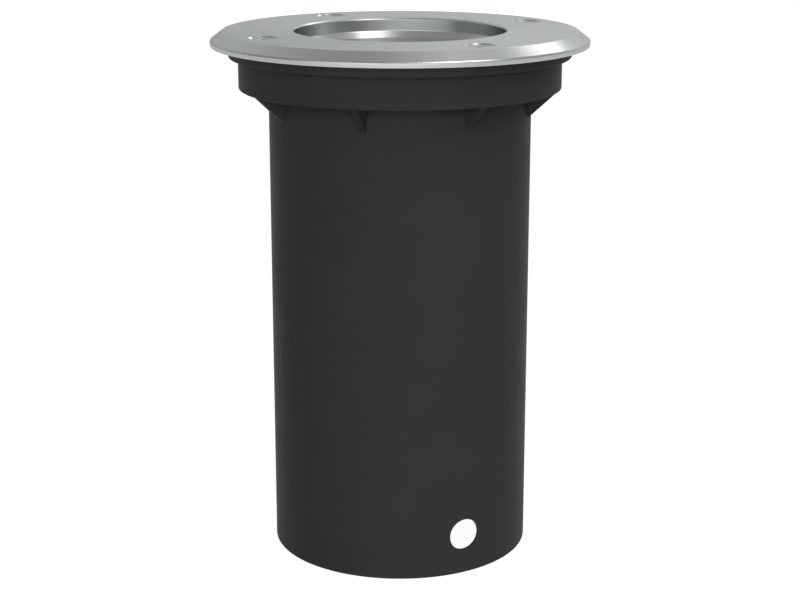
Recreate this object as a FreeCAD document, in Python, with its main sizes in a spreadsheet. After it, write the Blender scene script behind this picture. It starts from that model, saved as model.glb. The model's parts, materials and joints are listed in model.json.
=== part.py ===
import FreeCAD, Part
import math
import os
import re
import Sketcher

# Recessed ground light: a black plastic sleeve that is set in the ground, a sealed lamp pot that
# hangs in it, and a round steel trim ring with a glass window.
# Lengths are in millimetres. +Z is up and Z = 0 is the open foot of the sleeve, on its axis.
# The cable hole faces -Y and the four cover screws lie on the X and Y axes.

# Driving dimensions
SIZES = {
    # Whole light
    "overall_height": 155.3,
    # Trim ring
    "ring_overhang": 5.17,
    "ring_thickness": 4.13,
    "ring_chamfer_width": 3.5,
    "ring_chamfer_drop": 2.6,
    "ring_edge_round": 0.35,
    "aperture_setback": 2.63,
    "aperture_bevel": 0.45,
    "ring_lip_width": 1.5,
    "ring_lip_reach": 1.65,
    "ring_lip_rise": 1.9,
    "ring_lip_turn": 0.9,
    "ring_lip_edge": 0.15,
    "ring_lip_gap": 0.1,
    # Ground sleeve
    "tube_wall": 2.4,
    "collar_step": 8.67,
    "collar_wall": 2.4,
    "ledge_thickness": 2.5,
    "flange_lip": 2.81,
    "flange_thickness": 3.3,
    "sleeve_edge_round": 0.5,
    "rib_setback": 0.62,
    "rib_drop": 7.5,
    "rib_root_width": 4.2,
    "rib_edge_width": 1.9,
    "rib_root_depth": 1.2,
    "cable_hole_radius": 4.7,
    "cable_hole_height": 12.0,
    # Cover screws and the inserts that they run into
    "screw_shank_radius": 1.95,
    "screw_length": 12.0,
    "screw_head_sink": 0.4,
    "screw_tip_bevel": 0.4,
    "screw_socket_width": 2.5,
    "screw_socket_depth": 1.5,
    "screw_hole_clearance": 0.3,
    "screw_cone_clearance": 0.1,
    "countersink_radius": 4.65,
    "insert_wall": 0.5,
    "insert_end_gap": 0.95,
    "insert_sink": 0.25,
    "insert_bore_clearance": 0.05,
    "insert_fit": 0.02,
    "boss_wall": 0.8,
    "boss_skin": 0.12,
    "boss_hole_spare": 0.68,
    # Lamp pot
    "pot_gap": 0.95,
    "pot_wall": 2.2,
    "pot_floor": 3.5,
    "pot_edge_round": 1.5,
    "pot_flange_gap": 0.6,
    "pot_flange_thickness": 2.5,
    "pot_notch_gap": 0.5,
    "rim_wall": 1.5,
    "rim_gap": 0.27,
    "rim_notch_gap": 0.3,
    "pillar_radius": 4.0,
    "pillar_height": 6.0,
    "earth_boss_gap": 1.5,
    "earth_boss_radius": 3.0,
    "earth_boss_bracket_gap": 1.0,
    # Window
    "glass_thickness": 5.0,
    "glass_bevel": 0.5,
    "glass_fit": 0.05,
    "gasket_lip": 1.79,
    "gasket_bed": 0.7,
    "gasket_grip": 2.6,
    "gasket_side": 1.8,
    "gasket_gap": 0.2,
    # Machine screws inside the pot
    "small_screw_radius": 1.45,
    "small_screw_clearance": 0.05,
    "small_head_radius": 2.6,
    "small_head_height": 1.8,
    "small_socket_width": 2.0,
    "small_socket_depth": 1.0,
    "small_through_clearance": 0.25,
    "small_screw_end_gap": 0.4,
    # Lamp, a push-and-turn reflector lamp with two pins
    "lamp_gap": 3.4,
    "lamp_length": 54.0,
    "lamp_radius": 25.0,
    "lamp_rim_height": 5.0,
    "lamp_shoulder": 1.8,
    "lamp_wall": 1.4,
    "lamp_waist_radius": 14.0,
    "lamp_base_height": 10.0,
    "lamp_base_radius": 12.0,
    "lamp_spigot_height": 4.0,
    "lamp_fit": 0.05,
    "lens_thickness": 2.6,
    "lens_lip": 1.2,
    "lens_dome": 0.8,
    "lens_dome_radius": 5.6,
    "lens_dome_pitch_radius": 12.0,
    "led_board_depth": 9.0,
    "led_board_thickness": 1.2,
    "led_board_gap": 0.3,
    "led_width": 3.0,
    "led_height": 0.7,
    "driver_width": 15.0,
    "driver_gap": 1.8,
    "driver_thickness": 1.2,
    "driver_part_depth": 4.5,
    "driver_part_width": 6.0,
    "driver_part_gap": 4.6,
    "pin_offset": 5.0,
    "pin_length": 7.0,
    "pin_neck_radius": 1.35,
    "pin_head_radius": 2.5,
    "pin_head_height": 2.6,
    "pin_head_play": 0.7,
    "pin_root": 2.0,
    # Lamp holder
    "holder_gap": 0.3,
    "holder_wall": 1.2,
    "holder_height": 17.0,
    "holder_cavity_gap": 0.7,
    "holder_edge_round": 0.8,
    "slot_clearance": 0.25,
    "slot_twist": 30.0,
    "holder_screw_skin": 1.1,
    "holder_screw_reach": 8.0,
    "contact_near": 2.2,
    "contact_side_gap": 0.8,
    "contact_width": 5.0,
    "contact_thickness": 0.8,
    "contact_gap": 0.2,
    "contact_end_gap": 3.1,
    "contact_leg_width": 3.0,
    # Bracket under the holder
    "bracket_sheet": 1.5,
    "bracket_leg_gap": 4.25,
    "bracket_screw_gap": 2.65,
    "bracket_foot_gap": 2.8,
    "bracket_width": 18.0,
    "bracket_hole_gap": 0.6,
    # Terminal block
    "wiring_height": 13.2,
    "block_width": 14.0,
    "block_height": 13.5,
    "block_groove_width": 1.2,
    "block_groove_depth": 4.0,
    "pole_pitch": 10.0,
    "clamp_height": 5.2,
    "clamp_radius": 2.5,
    "clamp_bore_radius": 1.55,
    "clamp_length": 11.0,
    "clamp_fit": 0.05,
    "grub_spread": 3.2,
    "grub_radius": 1.2,
    "grub_head_radius": 1.75,
    "grub_head_height": 1.4,
    "grub_head_sink": 1.0,
    "grub_slot_width": 0.5,
    "grub_slot_depth": 0.6,
    "grub_clearance": 0.05,
    "grub_well_clearance": 0.15,
    "block_screw_bite": 2.2,
    # Leads and the earth tag
    "lead_radius": 0.9,
    "lead_start_height": 3.3,
    "lead_rise": 7.0,
    "lead_inset": 5.3,
    "lead_fall": 3.0,
    "lead_grip": 2.0,
    "lead_wire_gap": 0.06,
    "earth_lead_inset": 7.8,
    "tag_drop": 1.2,
    "tag_radius": 2.9,
    "tag_thickness": 0.8,
    "tag_barrel_wall": 0.6,
    "tag_barrel_gap": 0.2,
    "tag_barrel_length": 3.5,
    "tag_tongue_width": 2.4,
    # Cable gland
    "gland_place": 17.0,
    "gland_stub_radius": 7.9,
    "gland_hole_clearance": 0.15,
    "gland_thread_fit": 0.06,
    "gland_nut_wall": 1.6,
    "gland_washer_thickness": 1.5,
    "gland_washer_rim": 1.5,
    "gland_hex_height": 5.0,
    "gland_neck_step": 0.4,
    "gland_neck_length": 8.5,
    "gland_neck_wall": 1.4,
    "gland_seat_step": 1.5,
    "gland_seat_depth": 6.5,
    "gland_stub_end": 1.5,
    "gland_nut_height": 4.0,
    "gland_cap_gap": 0.4,
    "gland_cap_end": 3.0,
    "gland_cap_taper": 1.5,
    "seal_bore_step": 1.0,
    "seal_clearance": 0.1,
    "seal_end_gap": 0.3,
    "seal_cap_gap": 0.5,
    "seal_overhang": 2.4,
    # One overrun for every cut, and how near an edge must lie to count as the one looked for
    "overrun": 1.0,
    "find_within": 0.01,
}

# Counts, angles and shares
RIBS = 8
SCREWS = 4
POLES = 3
LEDS = 4
PINS = 2
LAMP_GROOVES = 3
FULL_TURN = 360.0
COUNTERSINK_ANGLE = 90.0
HEXAGON_SIDES = 6
LEAD_RUN_SHARE = 0.45

# Heights and radii that follow from the driving dimensions
PLACES = {
    # Radii from the wiring in the pot out to the rim of the ring
    "block_length": "%d * pole_pitch" % POLES,
    "bracket_leg_inside": "block_length / 2 + bracket_leg_gap",
    "bracket_leg_place": "bracket_leg_inside + bracket_sheet",
    "pillar_place": "bracket_leg_place + small_head_radius + bracket_screw_gap",
    "bracket_foot_place": "pillar_place + pillar_radius",
    "pot_inner_radius": "bracket_foot_place + bracket_foot_gap",
    "pot_radius": "pot_inner_radius + pot_wall",
    "tube_inner_radius": "pot_radius + pot_gap",
    "tube_outer_radius": "tube_inner_radius + tube_wall",
    "collar_outer_radius": "tube_outer_radius + collar_step",
    "collar_inner_radius": "collar_outer_radius - collar_wall",
    "flange_outer_radius": "collar_outer_radius + flange_lip",
    "ring_outer_radius": "flange_outer_radius + ring_overhang",
    "ring_flat_radius": "ring_outer_radius - ring_chamfer_width",
    "rib_end_radius": "collar_outer_radius - rib_setback",
    # Cover screws, from their shank out, and the window inside them
    "screw_hole_radius": "screw_shank_radius + screw_hole_clearance",
    "insert_radius": "screw_shank_radius + insert_bore_clearance + insert_wall",
    "boss_radius": "insert_radius + boss_wall",
    "screw_pitch_radius": "collar_outer_radius - boss_skin - boss_radius",
    "notch_radius": "boss_radius + pot_notch_gap",
    "rim_radius": "screw_pitch_radius - notch_radius - rim_notch_gap",
    "rim_inner_radius": "rim_radius - rim_wall",
    "gasket_radius": "rim_inner_radius - gasket_gap",
    "glass_radius": "gasket_radius - gasket_side",
    "gasket_inner_radius": "glass_radius - gasket_grip",
    "aperture_radius": "gasket_inner_radius - aperture_setback",
    "screw_head_radius": "countersink_radius - screw_head_sink - screw_cone_clearance",
    # Heights from the face of the ring down to the sleeve's ledge
    "sleeve_top": "overall_height - ring_thickness",
    "flange_under": "sleeve_top - flange_thickness",
    "glass_top": "sleeve_top - gasket_lip",
    "glass_under": "glass_top - glass_thickness",
    "seat_top": "glass_under - gasket_bed",
    "ledge_top": "seat_top - pot_flange_thickness",
    "collar_under": "ledge_top - ledge_thickness",
    "screw_top": "overall_height - screw_head_sink",
    "screw_tip": "screw_top - screw_length",
    "boss_hole_depth": "sleeve_top - screw_tip + boss_hole_spare",
    "insert_top": "sleeve_top - insert_sink",
    "insert_length": "boss_hole_depth - insert_sink - insert_end_gap",
    # Lamp
    "lamp_face": "glass_under - lamp_gap",
    "pin_tip": "lamp_face - lamp_length",
    "base_face": "pin_tip + pin_length",
    "base_top": "base_face + lamp_base_height",
    "spigot_top": "base_top + lamp_spigot_height",
    "rim_under": "lamp_face - lamp_rim_height",
    "shoulder_under": "rim_under - lamp_shoulder",
    "lens_under": "lamp_face - lens_thickness",
    "lens_radius": "lamp_radius - lens_lip",
    "led_board_top": "lamp_face - led_board_depth",
    "led_board_under": "led_board_top - led_board_thickness",
    "taper_run": "lamp_radius - lamp_shoulder - lamp_waist_radius",
    "led_board_radius": "lamp_radius - lamp_shoulder - lamp_wall - led_board_gap"
                        " - (shoulder_under - led_board_under) * taper_run / (shoulder_under - spigot_top)",
    "driver_height": "led_board_under - spigot_top - driver_gap",
    "driver_part_height": "(driver_height - 2 * driver_thickness - driver_part_gap) / 2",
    # Holder and bracket
    "holder_top": "base_face - holder_gap",
    "holder_under": "holder_top - holder_height",
    "plate_under": "pin_tip + pin_head_height + pin_head_play",
    "holder_plate": "holder_top - plate_under",
    "holder_cavity_radius": "pin_offset + pin_head_radius + holder_cavity_gap",
    "tapped_radius": "small_screw_radius + small_screw_clearance",
    "through_radius": "small_screw_radius + small_through_clearance",
    "holder_screw_place": "holder_cavity_radius + holder_screw_skin + tapped_radius",
    "holder_radius": "holder_screw_place + tapped_radius + holder_wall",
    "slot_half_width": "pin_neck_radius + slot_clearance",
    "entry_radius": "pin_head_radius + slot_clearance",
    "contact_top": "pin_tip - contact_gap",
    "contact_under": "contact_top - contact_thickness",
    "contact_far": "holder_cavity_radius - contact_side_gap",
    "contact_leg_height": "contact_top - holder_under - contact_end_gap",
    "bracket_under": "holder_under - bracket_sheet",
    "bracket_hole_radius": "contact_far - contact_thickness + bracket_hole_gap",
    # Terminal block, pot floor and earth boss
    "block_top": "bracket_under - wiring_height",
    "block_place": "bracket_width / 2 + earth_boss_bracket_gap + earth_boss_radius",
    "floor_top": "block_top - block_height",
    "pot_under": "floor_top - pot_floor",
    "pillar_top": "floor_top + pillar_height",
    "foot_top": "pillar_top + bracket_sheet",
    "clamp_axis": "floor_top + clamp_height",
    "grub_head_top": "block_top - grub_head_sink",
    "grub_tip": "clamp_axis + lead_radius + grub_clearance",
    "well_radius": "grub_head_radius + grub_well_clearance",
    "earth_boss_x": "block_length / 2 + earth_boss_gap + earth_boss_radius",
    "earth_boss_top": "clamp_axis - tag_drop",
    "tag_top": "earth_boss_top + tag_thickness",
    "tag_bore_radius": "lead_radius + lead_wire_gap",
    "tag_barrel_radius": "tag_bore_radius + tag_barrel_wall",
    # Leads
    "lead_turn": "block_top + lead_rise",
    "lead_outreach": "pot_inner_radius - lead_inset",
    "earth_turn": "pot_inner_radius - earth_lead_inset",
    # Cable gland, from its thread
    "gland_flats": "2 * (gland_stub_radius + gland_nut_wall)",
    "gland_washer_radius": "gland_stub_radius + gland_washer_rim",
    "gland_neck_radius": "gland_stub_radius - gland_neck_step",
    "gland_seat_radius": "gland_neck_radius - gland_neck_wall",
    "gland_bore_radius": "gland_seat_radius - gland_seat_step",
    "seal_bore_radius": "gland_bore_radius - seal_bore_step",
    "seal_radius": "gland_seat_radius - seal_clearance",
    "washer_under": "pot_under - gland_washer_thickness",
    "hex_under": "washer_under - gland_hex_height",
    "neck_under": "hex_under - gland_neck_length",
    "seal_top": "neck_under + gland_seat_depth - seal_end_gap",
    "seal_under": "neck_under - seal_overhang",
    "cap_top": "hex_under - gland_cap_gap",
    "cap_inside": "seal_under - seal_cap_gap",
    "cap_under": "cap_inside - gland_cap_end",
}

document = FreeCAD.newDocument("GroundLight")
sheet = document.addObject("Spreadsheet::Sheet", "Sizes")
PARTS = {}


def fill_sheet():
    """One row for each driving dimension: its name, its value and the alias that names the cell."""
    for row, (name, size) in enumerate(SIZES.items(), start=1):
        sheet.set("A%d" % row, name)
        sheet.set("B%d" % row, str(size))
        sheet.setAlias("B%d" % row, name)
    document.recompute()


def full(text):
    """An expression with each driving name on the sheet and each derived name written out."""
    def swap(match):
        word = match.group(0)
        if word in SIZES:
            return "Sizes." + word
        if word in PLACES:
            return "(" + full(PLACES[word]) + ")"
        return word
    return re.sub(r"[a-z][a-z_]*", swap, text)


def size(text):
    """The number that an expression in the sheet's names comes to."""
    return float(sheet.evalExpression(full(text)))


def bind(thing, path, text):
    thing.setExpression(path, full(text))


# Sketches and features

def new_body(label):
    body = document.addObject("PartDesign::Body", label)
    body.Label = label
    PARTS[label] = body
    return body


def new_sketch(body, plane, offset="0"):
    """A sketch on one of the body's own origin planes, moved along its normal by offset."""
    sketch = body.newObject("Sketcher::SketchObject", body.Label + "_sketch")
    support = [item for item in body.Origin.OriginFeatures if item.Role == plane][0]
    sketch.AttachmentSupport = [(support, "")]
    sketch.MapMode = "FlatFace"
    if offset != "0":
        bind(sketch, ".AttachmentOffset.Base.z", offset)
    return sketch


def fix_point(sketch, item, end, across, along):
    """Tie one point of the sketch to its two coordinates."""
    for kind, text in (("DistanceX", across), ("DistanceY", along)):
        row = sketch.addConstraint(Sketcher.Constraint(kind, -1, 1, item, end, size(text)))
        if text != "0":
            bind(sketch, "Constraints[%d]" % row, text)


def draw_outline(sketch, points):
    """Closed outline of straight lines through points, each a pair of expressions."""
    corners = [FreeCAD.Vector(size(across), size(along), 0) for across, along in points]
    first = sketch.GeometryCount
    for corner, after in zip(corners, corners[1:] + corners[:1]):
        sketch.addGeometry(Part.LineSegment(corner, after), False)
    for place, (across, along) in enumerate(points):
        following = first + (place + 1) % len(points)
        sketch.addConstraint(Sketcher.Constraint("Coincident", first + place, 2, following, 1))
        fix_point(sketch, first + place, 1, across, along)


def draw_circle(sketch, across, along, radius):
    centre = FreeCAD.Vector(size(across), size(along), 0)
    item = sketch.addGeometry(Part.Circle(centre, FreeCAD.Vector(0, 0, 1), size(radius)), False)
    fix_point(sketch, item, 3, across, along)
    row = sketch.addConstraint(Sketcher.Constraint("Radius", item, size(radius)))
    bind(sketch, "Constraints[%d]" % row, radius)


def rectangle(half_across, half_along):
    """Corners of a rectangle about the sketch's origin."""
    return box_corners("-(%s)" % half_across, half_across, "-(%s)" % half_along, half_along)


def box_corners(left, right, low, high):
    return [(left, low), (right, low), (right, high), (left, high)]


def hexagon(flats):
    """Corners of a regular hexagon about the sketch's origin, from its width across flats."""
    corners = []
    step = FULL_TURN / HEXAGON_SIDES
    reach = "((%s) / 2 / cos(%g))" % (flats, step / 2)
    for number in range(HEXAGON_SIDES):
        angle = "%g" % (number * step)
        corners.append(("%s * cos(%s)" % (reach, angle), "%s * sin(%s)" % (reach, angle)))
    return corners


def removed_some(body, volume, what):
    """Raise unless the last cut left the body with less material."""
    document.recompute()
    if not body.Shape.Volume < volume:
        raise ValueError("%s: %s cuts nothing" % (body.Label, what))


def turn(body, points, angle=None):
    """Add a solid of revolution about Z from an outline of radius and height."""
    sketch = new_sketch(body, "XZ_Plane")
    draw_outline(sketch, points)
    feature = body.newObject("PartDesign::Revolution", body.Label + "_turned")
    feature.Profile = sketch
    feature.ReferenceAxis = (sketch, ["V_Axis"])
    feature.Angle = FULL_TURN
    if angle:
        bind(feature, "Angle", angle)
    document.recompute()
    return feature


def turn_away(body, points, angle=None):
    """Cut a solid of revolution about Z from an outline of radius and height."""
    volume = body.Shape.Volume
    sketch = new_sketch(body, "XZ_Plane")
    draw_outline(sketch, points)
    feature = body.newObject("PartDesign::Groove", body.Label + "_groove")
    feature.Profile = sketch
    feature.ReferenceAxis = (sketch, ["V_Axis"])
    feature.Angle = FULL_TURN
    if angle:
        bind(feature, "Angle", angle)
    removed_some(body, volume, "groove")
    return feature


def pad(body, sketch, length, middle=False, backwards=False):
    feature = body.newObject("PartDesign::Pad", body.Label + "_pad")
    feature.Profile = sketch
    feature.SideType = "Symmetric" if middle else "One side"
    feature.Reversed = backwards
    bind(feature, "Length", length)
    document.recompute()
    return feature


def pocket(body, sketch, depth, middle=False):
    """Cut downwards from the sketch, or both ways from it."""
    volume = body.Shape.Volume
    feature = body.newObject("PartDesign::Pocket", body.Label + "_pocket")
    feature.Profile = sketch
    feature.SideType = "Symmetric" if middle else "One side"
    feature.Reversed = False
    bind(feature, "Length", depth)
    removed_some(body, volume, "pocket")
    return feature


def around(body, feature, count):
    """Repeat a feature evenly about Z."""
    pattern = body.newObject("PartDesign::PolarPattern", body.Label + "_ring")
    pattern.Originals = [feature]
    pattern.Axis = ([item for item in body.Origin.OriginFeatures if item.Role == "Z_Axis"][0], [""])
    pattern.Angle = FULL_TURN
    pattern.Occurrences = count
    body.Tip = pattern
    document.recompute()
    return pattern


def along_x(body, feature, span, count):
    """Repeat a feature at even steps along X over a span."""
    pattern = body.newObject("PartDesign::LinearPattern", body.Label + "_row")
    pattern.Originals = [feature]
    axis = [item for item in body.Origin.OriginFeatures if item.Role == "X_Axis"][0]
    pattern.Direction = (axis, [""])
    pattern.Occurrences = count
    bind(pattern, "Length", span)
    body.Tip = pattern
    document.recompute()
    return pattern


def circle_edges(shape, places):
    """Names of the full-circle edges at pairs of radius and height."""
    near = size("find_within")
    names = []
    for number, edge in enumerate(shape.Edges, start=1):
        if not isinstance(edge.Curve, Part.Circle):
            continue
        for radius, height in places:
            if abs(edge.Curve.Radius - size(radius)) < near and \
                    abs(edge.Curve.Center.z - size(height)) < near:
                names.append("Edge%d" % number)
    return names


def soften(body, radius, places):
    """Round the circular edges at pairs of radius and height."""
    base = body.Tip
    names = circle_edges(base.Shape, places)
    if len(names) < len(places):
        raise ValueError("%s: an edge to round is missing" % body.Label)
    feature = body.newObject("PartDesign::Fillet", body.Label + "_round")
    feature.Base = (base, names)
    bind(feature, "Radius", radius)
    document.recompute()
    return feature


def place_at(body, across, along):
    """Stand a body that is drawn about its own axis at a point of the plan."""
    bind(body, ".Placement.Base.x", across)
    bind(body, ".Placement.Base.y", along)


# Ground sleeve

def ground_sleeve():
    """Open tube, collar with its inner ledge, top flange, screw bosses, ribs and cable hole."""
    body = new_body("ground_sleeve")
    turn(body, [
        ("tube_inner_radius", "0"),
        ("tube_outer_radius", "0"),
        ("tube_outer_radius", "collar_under"),
        ("collar_outer_radius", "collar_under"),
        ("collar_outer_radius", "flange_under"),
        ("flange_outer_radius", "flange_under"),
        ("flange_outer_radius", "sleeve_top"),
        ("collar_inner_radius", "sleeve_top"),
        ("collar_inner_radius", "ledge_top"),
        ("tube_inner_radius", "ledge_top"),
    ])
    soften(body, "sleeve_edge_round", [
        ("collar_outer_radius", "collar_under"),
        ("flange_outer_radius", "flange_under"),
        ("tube_outer_radius", "0"),
    ])
    sleeve_bosses(body)
    sleeve_ribs(body)
    sleeve_cable_hole(body)


def sleeve_bosses(body):
    """Four bosses on the ledge, each with a blind hole for its insert."""
    sketch = new_sketch(body, "XY_Plane", "ledge_top - ledge_thickness / 2")
    draw_circle(sketch, "screw_pitch_radius", "0", "boss_radius")
    boss = pad(body, sketch, "sleeve_top - ledge_top + ledge_thickness / 2")
    around(body, boss, SCREWS)
    sketch = new_sketch(body, "XY_Plane", "sleeve_top")
    draw_circle(sketch, "screw_pitch_radius", "0", "insert_radius + insert_fit")
    hole = pocket(body, sketch, "boss_hole_depth")
    around(body, hole, SCREWS)


def sleeve_ribs(body):
    """Wedges under the collar: wide at the root, with a narrow slanted outer edge."""
    top = new_sketch(body, "XY_Plane", "collar_under")
    draw_outline(top, [
        ("tube_outer_radius - rib_root_depth", "-rib_root_width / 2"),
        ("rib_end_radius", "-rib_edge_width / 2"),
        ("rib_end_radius", "rib_edge_width / 2"),
        ("tube_outer_radius - rib_root_depth", "rib_root_width / 2"),
    ])
    foot = new_sketch(body, "XY_Plane", "collar_under - rib_drop")
    draw_outline(foot, [
        ("tube_outer_radius - rib_root_depth", "-rib_edge_width / 2"),
        ("tube_outer_radius", "-rib_edge_width / 2"),
        ("tube_outer_radius", "rib_edge_width / 2"),
        ("tube_outer_radius - rib_root_depth", "rib_edge_width / 2"),
    ])
    rib = body.newObject("PartDesign::AdditiveLoft", "rib")
    rib.Profile = top
    rib.Sections = [foot]
    rib.Ruled = True
    document.recompute()
    around(body, rib, RIBS)


def sleeve_cable_hole(body):
    """Round hole through the front wall, low down."""
    sketch = new_sketch(body, "XZ_Plane", "tube_inner_radius - overrun")
    draw_circle(sketch, "0", "cable_hole_height", "cable_hole_radius")
    volume = body.Shape.Volume
    hole = body.newObject("PartDesign::Pocket", "cable_hole")
    hole.Profile = sketch
    hole.Reversed = True
    bind(hole, "Length", "tube_wall + 2 * overrun")
    removed_some(body, volume, "cable hole")


def thread_inserts():
    """Brass sleeves pressed into the bosses."""
    body = new_body("thread_inserts")
    sketch = new_sketch(body, "XY_Plane", "insert_top - insert_length")
    draw_circle(sketch, "screw_pitch_radius", "0", "insert_radius")
    draw_circle(sketch, "screw_pitch_radius", "0", "screw_shank_radius + insert_bore_clearance")
    insert = pad(body, sketch, "insert_length")
    around(body, insert, SCREWS)


# Cover

def trim_ring():
    """Steel ring with a chamfered rim, a sloped lip over the glass and four countersunk holes."""
    body = new_body("trim_ring")
    lip_under = "glass_top + ring_lip_gap"
    lip_top = lip_under + " + ring_lip_edge"
    turn(body, [
        ("aperture_radius - ring_lip_reach", lip_under),
        ("aperture_radius + ring_lip_width", lip_under),
        ("aperture_radius + ring_lip_width", "sleeve_top"),
        ("ring_outer_radius", "sleeve_top"),
        ("ring_outer_radius", "overall_height - ring_chamfer_drop"),
        ("ring_flat_radius", "overall_height"),
        ("aperture_radius + aperture_bevel", "overall_height"),
        ("aperture_radius", "overall_height - aperture_bevel"),
        ("aperture_radius", lip_top + " + ring_lip_rise"),
        ("aperture_radius - ring_lip_reach", lip_top),
    ])
    soften(body, "ring_lip_turn", [("aperture_radius", lip_top + " + ring_lip_rise")])
    soften(body, "ring_edge_round", [
        ("ring_outer_radius", "sleeve_top"),
        ("ring_outer_radius", "overall_height - ring_chamfer_drop"),
    ])
    volume = body.Shape.Volume
    sketch = new_sketch(body, "XY_Plane", "overall_height")
    draw_circle(sketch, "screw_pitch_radius", "0", "screw_hole_radius")
    document.recompute()
    hole = body.newObject("PartDesign::Hole", "countersunk_hole")
    hole.Profile = sketch
    document.recompute()
    hole.DepthType = "ThroughAll"
    hole.HoleCutType = "Countersink"
    bind(hole, "Diameter", "2 * screw_hole_radius")
    bind(hole, "HoleCutDiameter", "2 * countersink_radius")
    hole.HoleCutCountersinkAngle = COUNTERSINK_ANGLE
    removed_some(body, volume, "countersunk hole")
    around(body, hole, SCREWS)


def cover_screw(number):
    """Countersunk socket screw; the first stands on the +X side and the others follow round."""
    body = new_body("cover_screw_%d" % (number + 1))
    turn(body, [
        ("0", "screw_tip"),
        ("screw_shank_radius - screw_tip_bevel", "screw_tip"),
        ("screw_shank_radius", "screw_tip + screw_tip_bevel"),
        ("screw_shank_radius", "screw_top - (screw_head_radius - screw_shank_radius)"),
        ("screw_head_radius", "screw_top"),
        ("0", "screw_top"),
    ])
    sketch = new_sketch(body, "XY_Plane", "screw_top")
    draw_outline(sketch, hexagon("screw_socket_width"))
    pocket(body, sketch, "screw_socket_depth")
    angle = "%d * %d" % (number, FULL_TURN / SCREWS)
    place_at(body, "screw_pitch_radius * cos(%s)" % angle, "screw_pitch_radius * sin(%s)" % angle)


# Window

def glass_lens():
    body = new_body("glass_lens")
    turn(body, [
        ("0", "glass_under"),
        ("glass_radius - glass_bevel", "glass_under"),
        ("glass_radius", "glass_under + glass_bevel"),
        ("glass_radius", "glass_top - glass_bevel"),
        ("glass_radius - glass_bevel", "glass_top"),
        ("0", "glass_top"),
    ])


def glass_gasket():
    """Rubber ring of channel section that grips the glass's rim."""
    body = new_body("glass_gasket")
    turn(body, [
        ("gasket_inner_radius", "seat_top"),
        ("gasket_radius", "seat_top"),
        ("gasket_radius", "sleeve_top"),
        ("gasket_inner_radius", "sleeve_top"),
        ("gasket_inner_radius", "glass_top"),
        ("glass_radius + glass_fit", "glass_top"),
        ("glass_radius + glass_fit", "glass_under"),
        ("gasket_inner_radius", "glass_under"),
    ])


# Lamp pot

def lamp_housing():
    """Cast pot that hangs by its flange, with a rim round the gasket and notches for the bosses."""
    body = new_body("lamp_housing")
    turn(body, [
        ("0", "pot_under"),
        ("pot_radius", "pot_under"),
        ("pot_radius", "ledge_top"),
        ("collar_inner_radius - pot_flange_gap", "ledge_top"),
        ("collar_inner_radius - pot_flange_gap", "seat_top"),
        ("rim_radius", "seat_top"),
        ("rim_radius", "sleeve_top - rim_gap"),
        ("rim_inner_radius", "sleeve_top - rim_gap"),
        ("rim_inner_radius", "seat_top"),
        ("pot_inner_radius", "seat_top"),
        ("pot_inner_radius", "floor_top"),
        ("0", "floor_top"),
    ])
    soften(body, "pot_edge_round", [("pot_radius", "pot_under")])
    sketch = new_sketch(body, "XY_Plane", "sleeve_top")
    draw_circle(sketch, "screw_pitch_radius", "0", "notch_radius")
    notch = pocket(body, sketch, "sleeve_top - ledge_top + overrun")
    around(body, notch, SCREWS)
    housing_posts(body)
    housing_holes(body)


def housing_posts(body):
    """Two pillars for the bracket and one boss for the earth screw."""
    sketch = new_sketch(body, "XY_Plane", "floor_top - pot_floor / 2")
    draw_circle(sketch, "pillar_place", "0", "pillar_radius")
    draw_circle(sketch, "-pillar_place", "0", "pillar_radius")
    pad(body, sketch, "pillar_height + pot_floor / 2")
    sketch = new_sketch(body, "XY_Plane", "floor_top - pot_floor / 2")
    draw_circle(sketch, "earth_boss_x", "-block_place", "earth_boss_radius")
    pad(body, sketch, "earth_boss_top - floor_top + pot_floor / 2")


def housing_holes(body):
    """Tapped holes in the posts and the floor, and the gland's hole."""
    sketch = new_sketch(body, "XY_Plane", "pillar_top")
    draw_circle(sketch, "pillar_place", "0", "tapped_radius")
    draw_circle(sketch, "-pillar_place", "0", "tapped_radius")
    pocket(body, sketch, "pillar_height")
    sketch = new_sketch(body, "XY_Plane", "earth_boss_top")
    draw_circle(sketch, "earth_boss_x", "-block_place", "tapped_radius")
    pocket(body, sketch, "earth_boss_top - floor_top")
    sketch = new_sketch(body, "XY_Plane", "floor_top")
    draw_circle(sketch, "pole_pitch / 2", "-block_place", "tapped_radius")
    draw_circle(sketch, "-pole_pitch / 2", "-block_place", "tapped_radius")
    pocket(body, sketch, "block_screw_bite + small_screw_end_gap")
    sketch = new_sketch(body, "XY_Plane", "floor_top")
    draw_circle(sketch, "0", "gland_place", "gland_stub_radius + gland_hole_clearance")
    pocket(body, sketch, "pot_floor + overrun")


# Cable gland, about its own axis

def gland_body():
    """Threaded stub through the floor, hexagon under it and a threaded neck with the seal's seat."""
    body = new_body("gland_body")
    turn(body, [
        ("gland_bore_radius", "neck_under + gland_seat_depth + gland_seat_radius - gland_bore_radius"),
        ("gland_seat_radius", "neck_under + gland_seat_depth"),
        ("gland_seat_radius", "neck_under"),
        ("gland_neck_radius", "neck_under"),
        ("gland_neck_radius", "washer_under"),
        ("gland_stub_radius", "washer_under"),
        ("gland_stub_radius", "floor_top + gland_nut_height + gland_stub_end"),
        ("gland_bore_radius", "floor_top + gland_nut_height + gland_stub_end"),
    ])
    sketch = new_sketch(body, "XY_Plane", "hex_under")
    draw_outline(sketch, hexagon("gland_flats"))
    draw_circle(sketch, "0", "0", "gland_neck_radius - gland_thread_fit")
    pad(body, sketch, "gland_hex_height")
    place_at(body, "0", "gland_place")


def gland_washer():
    body = new_body("gland_washer")
    turn(body, [
        ("gland_stub_radius + gland_hole_clearance", "washer_under"),
        ("gland_washer_radius", "washer_under"),
        ("gland_washer_radius", "pot_under"),
        ("gland_stub_radius + gland_hole_clearance", "pot_under"),
    ])
    place_at(body, "0", "gland_place")


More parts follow.
